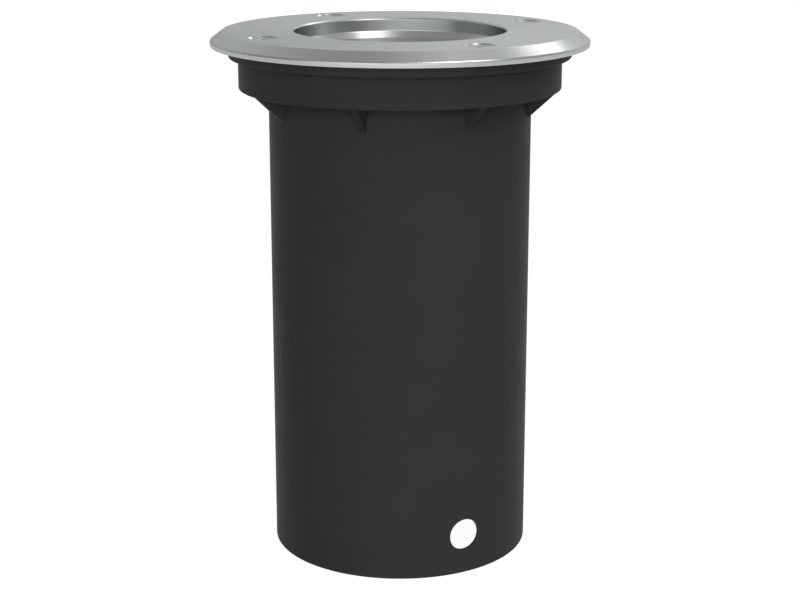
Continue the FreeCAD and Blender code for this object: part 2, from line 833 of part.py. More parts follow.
def gland_locknut():
    body = new_body("gland_locknut")
    sketch = new_sketch(body, "XY_Plane", "floor_top")
    draw_outline(sketch, hexagon("gland_flats"))
    draw_circle(sketch, "0", "0", "gland_stub_radius + gland_thread_fit")
    pad(body, sketch, "gland_nut_height")
    place_at(body, "0", "gland_place")


def gland_seal():
    """Rubber bush round the cable, half in the neck and half in the cap."""
    body = new_body("gland_seal")
    turn(body, [
        ("seal_bore_radius", "seal_under"),
        ("seal_radius - seal_overhang / 2", "seal_under"),
        ("seal_radius", "seal_under + seal_overhang / 2"),
        ("seal_radius", "seal_top"),
        ("seal_bore_radius", "seal_top"),
    ])
    place_at(body, "0", "gland_place")


def gland_cap():
    """Hexagonal cap that screws over the neck, with a tapered end."""
    body = new_body("gland_cap")
    sketch = new_sketch(body, "XY_Plane", "cap_under")
    draw_outline(sketch, hexagon("gland_flats"))
    pad(body, sketch, "cap_top - cap_under")
    turn_away(body, [
        ("0", "cap_under - overrun"),
        ("gland_bore_radius", "cap_under - overrun"),
        ("gland_bore_radius", "cap_inside - (seal_radius - gland_bore_radius)"),
        ("seal_radius + seal_end_gap", "cap_inside + seal_end_gap"),
        ("seal_radius + seal_end_gap", "neck_under - seal_end_gap"),
        ("gland_neck_radius + gland_thread_fit", "neck_under - seal_end_gap"),
        ("gland_neck_radius + gland_thread_fit", "cap_top + overrun"),
        ("0", "cap_top + overrun"),
    ])
    turn_away(body, [
        ("gland_flats / 2 - gland_cap_taper", "cap_under"),
        ("gland_flats", "cap_under + (gland_flats / 2 + gland_cap_taper)"),
        ("gland_flats", "cap_under - overrun"),
        ("gland_flats / 2 - gland_cap_taper", "cap_under - overrun"),
    ])
    place_at(body, "0", "gland_place")


# Lamp holder

def lamp_holder():
    """Ceramic holder: a plate with two kidney slots over a round cavity."""
    body = new_body("lamp_holder")
    turn(body, [
        ("holder_cavity_radius", "holder_under"),
        ("holder_radius", "holder_under"),
        ("holder_radius", "holder_top"),
        ("0", "holder_top"),
        ("0", "plate_under"),
        ("holder_cavity_radius", "plate_under"),
    ])
    soften(body, "holder_edge_round", [("holder_radius", "holder_top")])
    sketch = new_sketch(body, "XY_Plane", "holder_top")
    draw_circle(sketch, "pin_offset", "0", "slot_half_width")
    around(body, pocket(body, sketch, "holder_plate + overrun"), PINS)
    sketch = new_sketch(body, "XY_Plane", "holder_top")
    entry = ("pin_offset * cos(slot_twist)", "pin_offset * sin(slot_twist)")
    draw_circle(sketch, entry[0], entry[1], "entry_radius")
    around(body, pocket(body, sketch, "holder_plate + overrun"), PINS)
    kidney = turn_away(body, box_corners(
        "pin_offset - slot_half_width", "pin_offset + slot_half_width",
        "plate_under - overrun", "holder_top + overrun"), "slot_twist")
    around(body, kidney, PINS)
    sketch = new_sketch(body, "XY_Plane", "holder_under + holder_screw_reach + small_screw_end_gap")
    draw_circle(sketch, "holder_screw_place", "0", "tapped_radius")
    draw_circle(sketch, "-holder_screw_place", "0", "tapped_radius")
    pocket(body, sketch, "holder_screw_reach + small_screw_end_gap + overrun")


def holder_contacts():
    """Two bent brass strips, one under each pin."""
    body = new_body("holder_contacts")
    sketch = new_sketch(body, "XY_Plane", "contact_under")
    draw_outline(sketch, box_corners(
        "contact_near", "contact_far", "-contact_width / 2", "contact_width / 2"))
    around(body, pad(body, sketch, "contact_thickness"), PINS)
    sketch = new_sketch(body, "XY_Plane", "contact_top - contact_leg_height")
    draw_outline(sketch, box_corners(
        "contact_far - contact_thickness", "contact_far",
        "-contact_leg_width / 2", "contact_leg_width / 2"))
    around(body, pad(body, sketch, "contact_leg_height"), PINS)


def holder_bracket():
    """Hat-shaped steel strip between the pillars, with a round hole for the leads."""
    body = new_body("holder_bracket")
    right = [
        ("bracket_foot_place", "pillar_top"),
        ("bracket_foot_place", "foot_top"),
        ("bracket_leg_place", "foot_top"),
        ("bracket_leg_place", "holder_under"),
    ]
    left = [("-" + across, height) for across, height in reversed(right)]
    inside = [
        ("-bracket_leg_inside", "pillar_top"),
        ("-bracket_leg_inside", "bracket_under"),
        ("bracket_leg_inside", "bracket_under"),
        ("bracket_leg_inside", "pillar_top"),
    ]
    sketch = new_sketch(body, "XZ_Plane")
    draw_outline(sketch, right + left + inside)
    pad(body, sketch, "bracket_width", middle=True)
    sketch = new_sketch(body, "XY_Plane", "holder_under + overrun")
    draw_circle(sketch, "0", "0", "bracket_hole_radius")
    draw_circle(sketch, "holder_screw_place", "0", "through_radius")
    draw_circle(sketch, "-holder_screw_place", "0", "through_radius")
    pocket(body, sketch, "bracket_sheet + 2 * overrun")
    sketch = new_sketch(body, "XY_Plane", "foot_top + overrun")
    draw_circle(sketch, "pillar_place", "0", "through_radius")
    draw_circle(sketch, "-pillar_place", "0", "through_radius")
    pocket(body, sketch, "bracket_sheet + 2 * overrun")


# Fasteners inside the pot

def small_screws(label, places, seat, tip):
    """Pan head screws in one node, drawn upright at places in plan, from their seat to their tip."""
    body = new_body(label)
    sketch = new_sketch(body, "XY_Plane", tip)
    for across, along in places:
        draw_circle(sketch, across, along, "small_screw_radius")
    pad(body, sketch, "(%s) - (%s)" % (seat, tip))
    sketch = new_sketch(body, "XY_Plane", seat)
    for across, along in places:
        draw_circle(sketch, across, along, "small_head_radius")
    pad(body, sketch, "small_head_height")
    sketch = new_sketch(body, "XY_Plane", "(%s) + small_head_height" % seat)
    for across, along in places:
        corners = hexagon("small_socket_width")
        draw_outline(sketch, [
            ("(%s) + %s" % (across, x), "(%s) + %s" % (along, y)) for x, y in corners])
    pocket(body, sketch, "small_socket_depth")


def holder_screws():
    """Two screws that come up through the bracket into the holder, heads down."""
    body = new_body("holder_screws")
    sketch = new_sketch(body, "XY_Plane", "bracket_under")
    draw_circle(sketch, "holder_screw_place", "0", "small_screw_radius")
    draw_circle(sketch, "-holder_screw_place", "0", "small_screw_radius")
    pad(body, sketch, "bracket_sheet + holder_screw_reach")
    sketch = new_sketch(body, "XY_Plane", "bracket_under")
    draw_circle(sketch, "holder_screw_place", "0", "small_head_radius")
    draw_circle(sketch, "-holder_screw_place", "0", "small_head_radius")
    pad(body, sketch, "small_head_height", backwards=True)


# Terminal block, about its own middle

def terminal_block():
    """Nylon strip with three poles, a well over each clamp screw and grooves between poles."""
    body = new_body("terminal_block")
    sketch = new_sketch(body, "XY_Plane", "floor_top")
    draw_outline(sketch, rectangle("block_length / 2", "block_width / 2"))
    pad(body, sketch, "block_height")
    sketch = new_sketch(body, "XZ_Plane")
    draw_circle(sketch, "-pole_pitch", "clamp_axis", "clamp_radius + clamp_fit")
    bore = pocket(body, sketch, "block_width + 2 * overrun", middle=True)
    along_x(body, bore, "(%d) * pole_pitch" % (POLES - 1), POLES)
    sketch = new_sketch(body, "XY_Plane", "block_top")
    draw_circle(sketch, "-pole_pitch", "grub_spread", "well_radius")
    draw_circle(sketch, "-pole_pitch", "-grub_spread", "well_radius")
    wells = pocket(body, sketch, "block_height - clamp_height")
    along_x(body, wells, "(%d) * pole_pitch" % (POLES - 1), POLES)
    for side in ("", "-"):
        sketch = new_sketch(body, "XY_Plane", "block_top")
        draw_circle(sketch, side + "pole_pitch / 2", "0", "through_radius")
        pocket(body, sketch, "block_height + overrun")
        sketch = new_sketch(body, "XY_Plane", "block_top")
        for near, far in (("-block_width", "-small_head_radius"), ("small_head_radius", "block_width")):
            draw_outline(sketch, box_corners(
                side + "pole_pitch / 2 - block_groove_width / 2",
                side + "pole_pitch / 2 + block_groove_width / 2", near, far))
        pocket(body, sketch, "block_groove_depth")
    place_at(body, "0", "-block_place")


def terminal_clamps():
    """Brass tubes in the block's poles, each tapped for two clamp screws."""
    body = new_body("terminal_clamps")
    sketch = new_sketch(body, "XZ_Plane")
    for pole in range(POLES):
        across = "(%d) * pole_pitch" % (pole - 1)
        draw_circle(sketch, across, "clamp_axis", "clamp_radius")
        draw_circle(sketch, across, "clamp_axis", "clamp_bore_radius")
    pad(body, sketch, "clamp_length", middle=True)
    sketch = new_sketch(body, "XY_Plane", "clamp_axis + clamp_radius + overrun")
    for pole in range(POLES):
        across = "(%d) * pole_pitch" % (pole - 1)
        for along in ("grub_spread", "-grub_spread"):
            draw_circle(sketch, across, along, "grub_radius + grub_clearance")
    pocket(body, sketch, "clamp_radius + overrun")
    place_at(body, "0", "-block_place")


def terminal_screws():
    """Six slotted clamp screws."""
    body = new_body("terminal_screws")
    places = [("(%d) * pole_pitch" % (pole - 1), along)
              for pole in range(POLES) for along in ("grub_spread", "-grub_spread")]
    sketch = new_sketch(body, "XY_Plane", "grub_tip")
    for across, along in places:
        draw_circle(sketch, across, along, "grub_radius")
    pad(body, sketch, "grub_head_top - grub_tip")
    sketch = new_sketch(body, "XY_Plane", "grub_head_top - grub_head_height")
    for across, along in places:
        draw_circle(sketch, across, along, "grub_head_radius")
    pad(body, sketch, "grub_head_height")
    sketch = new_sketch(body, "XY_Plane", "grub_head_top")
    for across, along in places:
        draw_outline(sketch, box_corners(
            across + " - grub_head_radius - overrun", across + " + grub_head_radius + overrun",
            along + " - grub_slot_width / 2", along + " + grub_slot_width / 2"))
    pocket(body, sketch, "grub_slot_depth")
    place_at(body, "0", "-block_place")


# Leads

def rounded_path(points):
    """Straight runs joined by tangent arcs as large as the runs allow."""
    edges = []
    start = points[0]
    for before, corner, after in zip(points, points[1:], points[2:]):
        inward = (corner - before).normalize()
        outward = (after - corner).normalize()
        half_turned = inward.getAngle(outward) / 2
        room = LEAD_RUN_SHARE * min((corner - before).Length, (after - corner).Length)
        radius = room / math.tan(half_turned)
        first = corner - inward * room
        last = corner + outward * room
        middle = corner + (outward - inward).normalize() * (radius / math.cos(half_turned) - radius)
        edges.append(Part.LineSegment(start, first).toShape())
        edges.append(Part.Arc(first, middle, last).toShape())
        start = last
    edges.append(Part.LineSegment(start, points[-1]).toShape())
    return Part.Wire(edges)


def lead(label, places):
    """Insulated wire along a path given in expressions."""
    points = [FreeCAD.Vector(*(size(text) for text in place)) for place in places]
    path = rounded_path(points)
    ring = Part.Circle(points[0], points[1] - points[0], size("lead_radius")).toShape()
    feature = document.addObject("Part::Feature", label)
    feature.Label = label
    feature.Shape = path.makePipeShell([Part.Wire([ring])], True, False)
    PARTS[label] = feature


def lamp_leads():
    """Two leads from the holder's contacts down round the front of the block into its clamps."""
    start = "contact_far - contact_thickness - lead_radius"
    grip = "-(block_place + lead_grip)"
    for label, side, pole in (("lamp_lead_live", "-", "-pole_pitch"), ("lamp_lead_neutral", "", "0")):
        across = side + "(" + start + ")"
        lead(label, [
            (across, "0", "holder_under + lead_start_height"),
            (across, "0", "lead_turn"),
            ("(%s + %s) / 2" % (across, pole), "-lead_outreach", "lead_turn - lead_fall"),
            (pole, "-lead_outreach", "clamp_axis"),
            (pole, grip, "clamp_axis"),
        ])


def earth_lead():
    lead("earth_lead", [
        ("pole_pitch", "-(block_place + lead_grip)", "clamp_axis"),
        ("pole_pitch", "-earth_turn", "clamp_axis"),
        ("earth_boss_x", "-earth_turn", "clamp_axis"),
        ("earth_boss_x", "-(block_place + earth_boss_radius + tag_barrel_gap)", "clamp_axis"),
    ])


def earth_tag():
    """Ring tag on the earth boss, with a barrel crimped round the earth lead."""
    body = new_body("earth_tag")
    barrel_start = "-(earth_boss_radius + tag_barrel_gap)"
    sketch = new_sketch(body, "XZ_Plane", "-(%s)" % barrel_start)
    draw_circle(sketch, "0", "clamp_axis", "tag_barrel_radius")
    pad(body, sketch, "tag_barrel_length")
    sketch = new_sketch(body, "XY_Plane", "earth_boss_top")
    draw_circle(sketch, "0", "0", "tag_radius")
    pad(body, sketch, "tag_thickness")
    sketch = new_sketch(body, "XY_Plane", "earth_boss_top")
    draw_outline(sketch, box_corners(
        "-tag_tongue_width / 2", "tag_tongue_width / 2",
        barrel_start + " - tag_barrel_wall", "-tag_radius / 2"))
    pad(body, sketch, "tag_thickness")
    sketch = new_sketch(body, "XY_Plane", "tag_top")
    draw_circle(sketch, "0", "0", "through_radius")
    pocket(body, sketch, "tag_thickness + overrun")
    sketch = new_sketch(body, "XZ_Plane", "-(%s)" % barrel_start)
    draw_circle(sketch, "0", "clamp_axis", "tag_bore_radius")
    volume = body.Shape.Volume
    bore = body.newObject("PartDesign::Pocket", "barrel_bore")
    bore.Profile = sketch
    bore.Reversed = True
    bind(bore, "Length", "tag_barrel_length + overrun")
    removed_some(body, volume, "barrel bore")
    place_at(body, "earth_boss_x", "-block_place")


# Lamp

def lamp_body():
    """Tapered shell with a deep rim and three cooling grooves."""
    body = new_body("lamp_body")
    turn(body, [
        ("lamp_waist_radius", "base_top"),
        ("lamp_radius - lamp_shoulder", "shoulder_under"),
        ("lamp_radius", "rim_under"),
        ("lamp_radius", "lamp_face"),
        ("lens_radius + lamp_fit", "lamp_face"),
        ("lens_radius + lamp_fit", "rim_under"),
        ("lamp_radius - lamp_shoulder - lamp_wall", "shoulder_under"),
        ("lamp_waist_radius - lamp_wall", "spigot_top"),
        ("lamp_waist_radius - lamp_wall", "base_top"),
    ])
    for number in range(LAMP_GROOVES):
        lamp_groove(body, number)


def lamp_groove(body, number):
    """Shallow ring groove, part of the way up the taper."""
    up_share = "(%d / %d)" % (number + 2, LAMP_GROOVES + 3)
    middle = "base_top + (shoulder_under - base_top) * %s" % up_share
    radius = "lamp_waist_radius + taper_run * %s" % up_share
    turn_away(body, [
        (radius + " - lamp_wall / 2", middle),
        (radius + " + lamp_wall", middle + " - lamp_wall"),
        (radius + " + lamp_wall", middle + " + lamp_wall"),
    ])


def lamp_lens():
    """Front disc with a low dome over each diode."""
    body = new_body("lamp_lens")
    turn(body, [
        ("0", "lens_under"),
        ("lens_radius", "lens_under"),
        ("lens_radius", "lamp_face - lens_dome"),
        ("0", "lamp_face - lens_dome"),
    ])
    sketch = new_sketch(body, "XY_Plane", "lamp_face - lens_dome - lens_thickness / 4")
    draw_circle(sketch, "lens_dome_pitch_radius", "0", "lens_dome_radius")
    around(body, pad(body, sketch, "lens_dome + lens_thickness / 4"), LEDS)


def lamp_led_board():
    """Round board with its diodes."""
    body = new_body("lamp_led_board")
    turn(body, [
        ("0", "led_board_under"),
        ("led_board_radius", "led_board_under"),
        ("led_board_radius", "led_board_top"),
        ("0", "led_board_top"),
    ])
    sketch = new_sketch(body, "XY_Plane", "led_board_top - led_board_thickness / 2")
    draw_outline(sketch, box_corners(
        "lens_dome_pitch_radius - led_width / 2", "lens_dome_pitch_radius + led_width / 2",
        "-led_width / 2", "led_width / 2"))
    around(body, pad(body, sketch, "led_height + led_board_thickness / 2"), LEDS)


def lamp_driver_board():
    """Upright board under the diode board, with its parts on one side."""
    body = new_body("lamp_driver_board")
    sketch = new_sketch(body, "XZ_Plane")
    draw_outline(sketch, box_corners(
        "-driver_width / 2", "driver_width / 2", "spigot_top", "spigot_top + driver_height"))
    pad(body, sketch, "driver_thickness", middle=True)
    for low in ("spigot_top + driver_thickness",
                "spigot_top + driver_height - driver_thickness - driver_part_height"):
        sketch = new_sketch(body, "XZ_Plane")
        draw_outline(sketch, box_corners(
            "-driver_part_width / 2", "driver_part_width / 2", low, low + " + driver_part_height"))
        pad(body, sketch, "driver_part_depth + driver_thickness / 2")


def lamp_base():
    """Plastic plug that closes the foot of the lamp."""
    body = new_body("lamp_base")
    turn(body, [
        ("0", "base_face"),
        ("lamp_base_radius", "base_face"),
        ("lamp_waist_radius", "base_top"),
        ("lamp_waist_radius - lamp_wall - lamp_fit", "base_top"),
        ("lamp_waist_radius - lamp_wall - lamp_fit", "spigot_top"),
        ("0", "spigot_top"),
    ])
    sketch = new_sketch(body, "XY_Plane", "base_face - overrun")
    draw_circle(sketch, "pin_offset", "0", "pin_neck_radius + lamp_fit")
    draw_circle(sketch, "-pin_offset", "0", "pin_neck_radius + lamp_fit")
    volume = body.Shape.Volume
    holes = body.newObject("PartDesign::Pocket", "pin_holes")
    holes.Profile = sketch
    holes.Reversed = True
    bind(holes, "Length", "pin_root + overrun")
    removed_some(body, volume, "pin holes")


def lamp_pins():
    """Two pins with a wide head that turn into the holder's slots."""
    body = new_body("lamp_pins")
    sketch = new_sketch(body, "XY_Plane", "pin_tip")
    draw_circle(sketch, "pin_offset", "0", "pin_head_radius")
    around(body, pad(body, sketch, "pin_head_height"), PINS)
    sketch = new_sketch(body, "XY_Plane", "pin_tip")
    draw_circle(sketch, "pin_offset", "0", "pin_neck_radius")
    around(body, pad(body, sketch, "pin_length + pin_root"), PINS)


def build():
    """Make every sub-part."""
    fill_sheet()
    ground_sleeve()
    thread_inserts()
    trim_ring()
    for number in range(SCREWS):
        cover_screw(number)
    glass_lens()
    glass_gasket()
    lamp_housing()
    gland_body()
    gland_washer()
    gland_locknut()
    gland_seal()
    gland_cap()
    lamp_holder()
    holder_contacts()
    holder_bracket()
    holder_screws()
    small_screws("bracket_screws", [("pillar_place", "0"), ("-pillar_place", "0")],
                 "foot_top", "floor_top + small_screw_end_gap")
    small_screws("block_screws",
                 [("pole_pitch / 2", "-block_place"), ("-pole_pitch / 2", "-block_place")],
                 "block_top", "floor_top - block_screw_bite")
    small_screws("earth_screw", [("earth_boss_x", "-block_place")],
                 "tag_top", "floor_top + small_screw_end_gap")
    terminal_block()
    terminal_clamps()
    terminal_screws()
    lamp_leads()
    earth_lead()
    earth_tag()
    lamp_body()
    lamp_lens()
    lamp_led_board()
    lamp_driver_board()
    lamp_base()
    lamp_pins()
    document.recompute()


def check():
    """Raise if any object failed, or if a sub-part's shape is missing or faulty."""
    for thing in document.Objects:
        if "Invalid" in thing.State or "Error" in thing.State:
            raise ValueError("%s failed: %s" % (thing.Label, thing.State))
    for label, part in PARTS.items():
        if part.Shape.isNull() or not part.Shape.isValid() or not part.Shape.Solids:
            raise ValueError("%s has no valid solid" % label)


def write():
    os.makedirs("parts", exist_ok=True)
    for label, part in PARTS.items():
        part.Shape.exportStep("parts/%s.step" % label)
        print("%-20s %2d solids %12.3f mm3" % (label, len(part.Shape.Solids), part.Shape.Volume))


build()
check()
write()
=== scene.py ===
import json
import math

import bmesh
import bpy
from mathutils import Matrix, Vector

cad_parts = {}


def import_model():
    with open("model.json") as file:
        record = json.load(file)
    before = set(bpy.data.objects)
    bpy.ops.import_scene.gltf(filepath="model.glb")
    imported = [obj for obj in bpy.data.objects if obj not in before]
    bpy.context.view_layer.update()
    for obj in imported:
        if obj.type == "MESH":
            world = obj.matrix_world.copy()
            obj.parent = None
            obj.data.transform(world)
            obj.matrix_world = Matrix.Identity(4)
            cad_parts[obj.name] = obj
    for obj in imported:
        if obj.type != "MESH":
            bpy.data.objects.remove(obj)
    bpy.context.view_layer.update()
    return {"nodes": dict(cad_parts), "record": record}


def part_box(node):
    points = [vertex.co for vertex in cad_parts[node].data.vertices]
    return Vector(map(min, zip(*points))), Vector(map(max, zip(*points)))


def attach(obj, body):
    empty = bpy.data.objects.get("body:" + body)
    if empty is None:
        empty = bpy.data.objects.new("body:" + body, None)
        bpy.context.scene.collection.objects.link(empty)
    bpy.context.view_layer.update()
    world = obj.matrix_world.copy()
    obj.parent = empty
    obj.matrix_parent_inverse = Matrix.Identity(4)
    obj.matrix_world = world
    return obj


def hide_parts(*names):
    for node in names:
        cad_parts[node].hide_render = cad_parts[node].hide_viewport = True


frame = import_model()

# Recessed ground light. Lengths are in metres, in the model's own frame: +Z up, the sleeve's open
# foot at Z = 0, the cable hole towards -Y and the cover screws on the X and Y axes.

MM = 0.001
TURN = 2.0 * math.pi

# Sizes read from the frame
RING_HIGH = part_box("trim_ring")[1]
SLEEVE_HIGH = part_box("ground_sleeve")[1]
GLASS_LOW, GLASS_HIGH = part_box("glass_lens")
TOP = RING_HIGH.z
RING_RADIUS = RING_HIGH.x
RING_UNDER = SLEEVE_HIGH.z

# Trim ring
APERTURE_RADIUS = 30.77 * MM
APERTURE_BEVEL = 0.45 * MM
CHAMFER_WIDTH = 3.5 * MM
CHAMFER_DROP = 2.6 * MM
RING_ROUND = 0.3 * MM
RIM_ROUND = 0.8 * MM
COUNTERSINK_RADIUS = 4.65 * MM
SCREW_HOLE_RADIUS = 2.25 * MM

# The ring's lip over the glass: a slope from the aperture's wall down to a thin edge
LIP_REACH = 1.65 * MM
LIP_RISE = 1.9 * MM
LIP_TURN = 0.6 * MM
LIP_EDGE = 0.06 * MM
LIP_ROUND = 0.02 * MM
LIP_GAP = 0.02 * MM
LIP_WIDTH = 1.5 * MM

# Cover screws
SCREW_COUNT = 4
SCREW_CIRCLE_RADIUS = 43.6 * MM
SHANK_RADIUS = 1.95 * MM
NECK_RADIUS = 0.9 * SHANK_RADIUS
NECK_LENGTH = 0.6 * MM
HEAD_ROUND = 0.22 * MM
SOCKET_SIDES = 6
SOCKET_FLATS = 2.5 * MM
SOCKET_DEPTH = 1.5 * MM
SOCKET_MOUTH = 0.45 * MM
THREAD_PITCH = 0.7 * MM
THREAD_DEPTH = 0.32 * MM
THREAD_START = 0.3 * MM
THREAD_STEEPNESS = 2.2

# Glass window
GLASS_ROUND = 0.5 * MM

# Ground sleeve
TUBE_RADIUS = 38.35 * MM
TUBE_WALL = 2.4 * MM
COLLAR_RADIUS = 47.02 * MM
COLLAR_WALL = 2.4 * MM
FLANGE_THICKNESS = 3.3 * MM
LEDGE_THICKNESS = 2.5 * MM
POT_FLANGE_THICKNESS = 2.5 * MM
BOSS_RADIUS = 3.3 * MM
BOSS_EMBED = 1.0 * MM
INSERT_HOLE_RADIUS = 2.52 * MM
INSERT_END_GAP = 0.95 * MM
SLEEVE_ROUND = 0.5 * MM
RIB_COUNT = 8
RIB_SETBACK = 0.62 * MM
RIB_DROP = 7.5 * MM
RIB_ROOT_WIDTH = 4.2 * MM
RIB_EDGE_WIDTH = 1.9 * MM
RIB_ROUND = 0.15 * MM
RIB_TUBE_EMBED = 1.2 * MM
RIB_COLLAR_EMBED = 0.6 * MM
CABLE_HOLE_RADIUS = 4.7 * MM
CABLE_HOLE_HEIGHT = 12.0 * MM
CABLE_HOLE_FLARE = 1.4 * MM

# How far cuts run past the faces that they open
CUT_OVERRUN = 1.0 * MM
CABLE_CUT_OVERRUN = 3.0 * MM

# Fineness of the meshes: steps in a full turn, rows in a thread's pitch and steps in a corner's arc
RING_STEPS = 384
SLEEVE_STEPS = 320
GLASS_STEPS = 192
SMALL_STEPS = 64
BOSS_STEPS = 48
THREAD_STEPS = 40
THREAD_ROWS = 8
ARC_STEPS = 4
RING_ARC_STEPS = 8
HEAD_ARC_STEPS = 3

# Most that an arc takes of the shorter side beside its corner: with the outline's radius, and with
# a radius of its own
ARC_SHARE = 0.45
OWN_ARC_SHARE = 0.96

# Finishes
STEEL = (0.46, 0.475, 0.48)
STEEL_TINT = (0.68, 0.70, 0.705)
GREEN = (0.10, 0.35, 0.05)
YELLOW = (0.75, 0.62, 0.05)
STRIPES_PER_METRE = 900.0

# Strength of the brushing inside the aperture, and how far past its wall it holds
INNER_MARKS_SHARE = 0.4
INNER_MARKS_BORDER = 0.1 * MM

# Range that noise values keep to, near the middle of 0 to 1
NOISE_LOW = 0.3
NOISE_MIDDLE = 0.5
NOISE_HIGH = 0.7

# Camera, as fitted to the photograph: distance from the axis, height over the foot and direction,
# with its lens and sensor in millimetres
VIEW_AZIMUTH = math.radians(-29.5)
VIEW_DISTANCE = 513.1 * MM
VIEW_HEIGHT = 212.95 * MM
VIEW_PITCH = math.radians(15.15)
VIEW_LENS = 79.3
VIEW_SENSOR = 36.0
VIEW_CLIP_START = 10.0 * MM

# Sky that gloss and glass show: white behind the light, greyer at the horizon, overhead and on all
# other sides, darker still on the left, with a glow low down on the camera's side that is centred
# at an angle in degrees right of the view
SKY_WHITE = 1.10
SKY_HORIZON = 0.78
SKY_OVERHEAD = 0.60
SKY_SIDES = 0.46
SKY_LEFT = 0.76
SKY_GLOW = 2.2
GLOW_TURNED = -10.0

# Bands in which the sky changes with the sine of the height over the horizon
HORIZON_BAND = (0.04, 0.22)
OVERHEAD_BAND = (0.4, 0.9)
GLOW_HEIGHT_BAND = (0.25, 0.75)

# Bands in which it changes with the cosine of the angle to the camera's side, the right and the glow
SIDES_BAND = (-0.75, -0.25)
LEFT_BAND = (-0.12, 0.02)
GLOW_BAND = (0.55, 0.97)

# Plain light of the sky on everything, and the floor's shades
FILL = 0.11
FLOOR_BOUNCE = 0.14
FLOOR_SHADOW = 0.22
FLOOR_SEEN = 0.955
FLOOR_REACH = 40.0
FLOOR_DROP = 0.2 * MM

# Softboxes: degrees right of the view and over the horizon, distance, width and height, radiance,
# and whether gloss shows them; the plain wide ones stand in front and behind
SOFTBOXES = {
    "key": (49.0, 53.0, 1.6, (0.75, 1.0), 4.6, True),
    "front": (-3.0, 10.0, 1.8, (1.0, 0.9), 6.2, False),
    "back_right": (146.5, 39.0, 1.5, (0.30, 0.40), 4.5, True),
    "behind": (180.0, 14.0, 2.2, (0.8, 0.8), 4.5, False),
}


# Mesh tools

def new_object(name, data):
    """New object in the scene's collection."""
    piece = bpy.data.objects.new(name, data)
    bpy.context.scene.collection.objects.link(piece)
    return piece


def built(name, build):
    """New object from finished mesh work."""
    mesh = bpy.data.meshes.new(name)
    build.to_mesh(mesh)
    build.free()
    return new_object(name, mesh)


def turned_point(radius, step, steps, height=0.0):
    """Point at a step of a full turn about Z."""
    angle = TURN * step / steps
    return (radius * math.cos(angle), radius * math.sin(angle), height)


def rounded(points, radius, steps=ARC_STEPS):
    """Closed outline with arcs for corners, of one radius or of a point's own third value."""
    outline = []
    for number, point in enumerate(points):
        corner = Vector(point[:2])
        before = Vector(points[number - 1][:2]) - corner
        after = Vector(points[(number + 1) % len(points)][:2]) - corner
        half = before.angle(after) / 2.0
        arc, most = (point[2], OWN_ARC_SHARE) if len(point) > 2 else (radius, ARC_SHARE)
        room = min(arc / math.tan(half), most * min(before.length, after.length))
        reach = room * math.tan(half)
        start = corner + before.normalized() * room
        end = corner + after.normalized() * room
        inward = (before.normalized() + after.normalized()).normalized()
        centre = corner + inward * (reach / math.sin(half))
        first = math.atan2(start.y - centre.y, start.x - centre.x)
        swing = math.atan2(end.y - centre.y, end.x - centre.x) - first
        swing = (swing + math.pi) % TURN - math.pi
        for step in range(steps + 1):
            angle = first + swing * step / steps
            outline.append((centre.x + reach * math.cos(angle), centre.y + reach * math.sin(angle)))
    return outline


def revolved(name, outline, steps):
    """Solid of revolution about Z from a closed outline of (radius, height)."""
    build = bmesh.new()
    rings = []
    for radius, height in outline:
        count = steps if radius > 0.0 else 1
        rings.append([build.verts.new(turned_point(radius, s, steps, height)) for s in range(count)])
    for ring, after in zip(rings, rings[1:] + rings[:1]):
        for s in range(steps):
            t = (s + 1) % steps
            corners = [ring[s % len(ring)], ring[t % len(ring)],
                       after[t % len(after)], after[s % len(after)]]
            corners = list(dict.fromkeys(corners))
            if len(corners) > 2:
                build.faces.new(corners)
    bmesh.ops.recalc_face_normals(build, faces=build.faces)
    return built(name, build)


def prism(name, radius, sides, low, high):
    """Upright prism on a regular polygon about Z."""
    build = bmesh.new()
    base = build.faces.new([build.verts.new(turned_point(radius, s, sides, low)) for s in range(sides)])
    raised = bmesh.ops.extrude_face_region(build, geom=[base])["geom"]
    bmesh.ops.translate(build, vec=(0.0, 0.0, high - low),
                        verts=[v for v in raised if isinstance(v, bmesh.types.BMVert)])
    bmesh.ops.recalc_face_normals(build, faces=build.faces)
    return built(name, build)


def threaded_rod(name, low, high):
    """Closed rod with a rolled thread that fades out at both ends."""
    build = bmesh.new()
    core = SHANK_RADIUS - THREAD_DEPTH
    rows = int((high - low) / THREAD_PITCH * THREAD_ROWS)
    rings = []
    for row in range(rows + 1):
        height = low + (high - low) * row / rows
        fade = min(1.0, (height - low) / THREAD_PITCH, (high - height) / THREAD_PITCH)
        ring = []
        for s in range(THREAD_STEPS):
            phase = ((height - low) / THREAD_PITCH - s / THREAD_STEPS) % 1.0
            ridge = max(0.0, 1.0 - abs(phase - 0.5) * THREAD_STEEPNESS)
            radius = core + (SHANK_RADIUS - core) * ridge * fade
            ring.append(build.verts.new(turned_point(radius, s, THREAD_STEPS, height)))
        rings.append(ring)
    for ring, after in zip(rings, rings[1:]):
        for s in range(THREAD_STEPS):
            t = (s + 1) % THREAD_STEPS
            build.faces.new((ring[s], ring[t], after[t], after[s]))
    build.faces.new(list(reversed(rings[0])))
    build.faces.new(rings[-1])
    bmesh.ops.recalc_face_normals(build, faces=build.faces)
    return built(name, build)


def to_screw(number):
    """Move from the Z axis to a cover screw's place."""
    return Matrix.Translation(Vector(turned_point(SCREW_CIRCLE_RADIUS, number, SCREW_COUNT)))


def at_screws(make):
    """Pieces made one by one, each moved to the place of a cover screw."""
    pieces = []
    for number in range(SCREW_COUNT):
        piece = make()
        piece.data.transform(to_screw(number))
        pieces.append(piece)
    return pieces


def settle(piece):
    """Replace the piece's mesh by what its modifiers make of it."""
    bpy.context.view_layer.update()
    made = bpy.data.meshes.new_from_object(
        piece.evaluated_get(bpy.context.evaluated_depsgraph_get()))
    piece.modifiers.clear()
    piece.data = made


